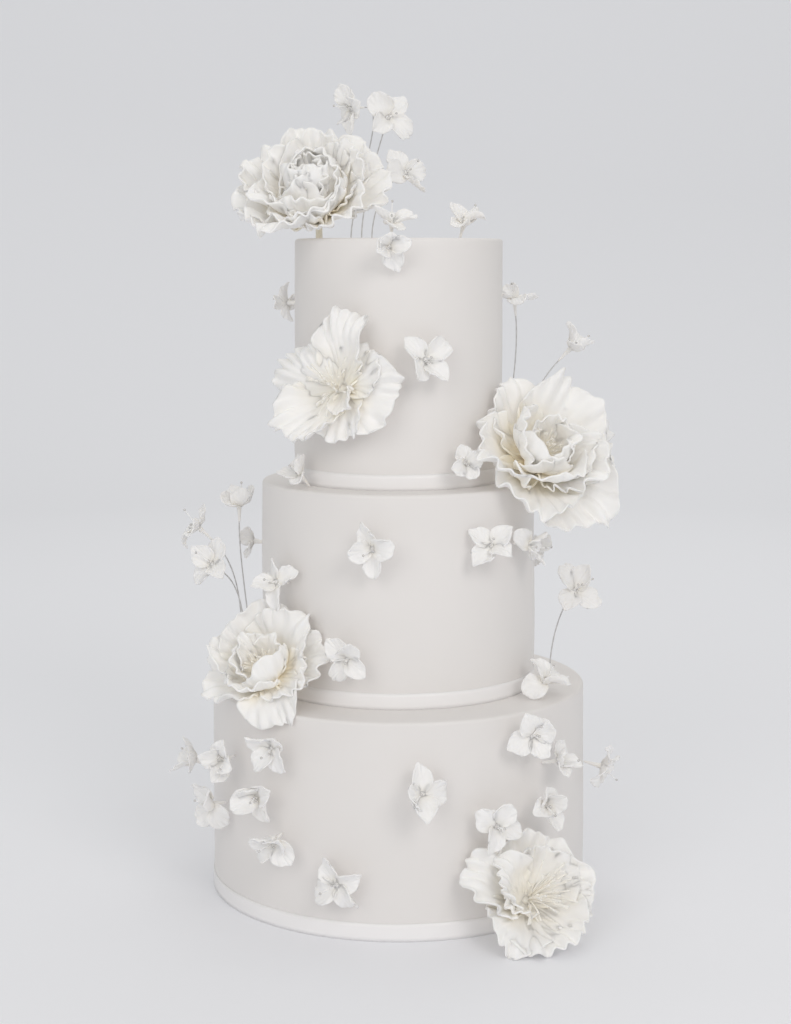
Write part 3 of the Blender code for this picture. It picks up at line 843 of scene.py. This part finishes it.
def add_stage():
    """A pale floor just under the cake, and a wall that rises from it in one round sweep.

    Both are a profile turned round the axis. The wall is there for the eye only: it takes
    light and gives none, so that the room's light reaches the cake past it.
    """
    material, _, _ = new_material("matt_pale_paint", Roughness=0.85,
                                  Base_Color=linear("#F3F4F8"))
    sides, reach, bend, height, drop = 128, 2.2, 1.6, 6.0, 0.05 * MM
    turn = np.linspace(0.0, TAU, sides, endpoint=False)
    sweep = np.linspace(0.0, math.pi / 2, 33)
    profiles = {
        "floor": (np.array((0.0, reach)), np.zeros(2)),
        "wall": (np.append(reach + bend * np.sin(sweep), reach + bend),
                 np.append(bend - bend * np.cos(sweep), height)),
    }
    for name, (out, high) in profiles.items():
        points = np.stack((out[:, None] * np.cos(turn), out[:, None] * np.sin(turn),
                           high[:, None] * np.ones(sides) - drop), axis=-1)
        mesh = bpy.data.meshes.new(name)
        mesh.from_pydata(points.reshape(-1, 3), [],
                         grid_quads(len(out), sides, close_columns=True).tolist())
        mesh.shade_smooth()
        mesh.materials.append(material)
        stage = bpy.data.objects.new(name, mesh)
        stage.visible_diffuse = stage.visible_glossy = stage.visible_shadow = name == "floor"
        bpy.context.scene.collection.objects.link(stage)


def add_lamp(name, size, power, place, target, colour="#FFFFFF"):
    """A square softbox aimed from place to target: tipped from straight down by the angle
    of its way, then turned to it."""
    light = bpy.data.lights.new(name, "AREA")
    light.shape = "SQUARE"
    light.size = size
    light.energy = power
    light.color = linear(colour)[:3]
    lamp = bpy.data.objects.new(name, light)
    lamp.location = place
    lamp.visible_camera = False
    way = np.array(target, float) - np.array(place, float)
    lamp.rotation_euler = (math.acos(-way[2] / np.linalg.norm(way)), 0.0,
                           math.atan2(way[1], way[0]) - math.pi / 2)
    bpy.context.scene.collection.objects.link(lamp)


def add_light():
    """Big soft window light from the right front and above, in a bright pale room."""
    world = bpy.data.worlds.new("pale_room")
    world.use_nodes = True
    sky = world.node_tree.nodes["Background"]
    sky.inputs["Color"].default_value = linear("#C1C1C0")
    sky.inputs["Strength"].default_value = 1.0
    bpy.context.scene.world = world
    middle = (0.0, 0.0, 0.28)
    add_lamp("window", 1.1, 15.8, (1.1, -2.3, 1.6), middle, "#FFFBF8")
    add_lamp("room_front", 1.5, 11.4, (-1.0, -2.3, 1.25), middle, "#FFFDFB")
    add_lamp("ceiling", 2.6, 5.0, (0.0, 0.1, 2.6), middle)
    add_lamp("wall_wash", 2.0, 14.0, (0.0, 1.4, 3.2), (0.0, 3.8, 1.0))
    add_lamp("room_back", 2.4, 6.0, (0.5, 1.7, 2.2), middle, "#FFFDFB")


def add_camera():
    """Seen from the front at the height of the top tier, with the view dropped by shift."""
    distance, height, pitch = 1.3765, 0.4614, math.radians(2.3)
    lens = bpy.data.cameras.new("camera")
    lens.lens = 65.04
    lens.shift_y = -0.1716
    camera = bpy.data.objects.new("camera", lens)
    camera.location = (-0.0022, -distance, height)
    camera.rotation_euler = (math.pi / 2 - pitch, 0.0, 0.0)
    bpy.context.scene.collection.objects.link(camera)
    bpy.context.scene.camera = camera


def build():
    """The camera, the light and the stage, then the cake from its tiers to its flowers."""
    bpy.context.scene.view_settings.view_transform = "Standard"
    # White petals pass light on many times, which fills the depth of each flower.
    bpy.context.scene.cycles.diffuse_bounces = 10
    add_camera()
    add_light()
    add_stage()
    fondant, satin = fondant_material(), satin_material()
    # Each paste has its own colour at the edge; the second colour is painted shade, a warmer and greyer
    # tone for the deep parts of the flowers.
    white = petal_material("white_flower_paste", "#F6F5F4", "#EEEBE4", 0.62, 0.9 * MM)
    peony_paste = petal_material("peony_flower_paste", "#FAF9F7", "#FAF3E3", 0.60, 1.0 * MM)
    for tier in TIERS:
        add_tier(tier, fondant)
        add_band(tier, satin)
    add_blossoms(white, pearl_material(), wire_material())
    for name, calyx, azimuth, lift, rim, tier, hold, spot in PEONIES:
        add_peony(name, calyx, azimuth, lift, rim, tier, hold, spot, peony_paste)


build()
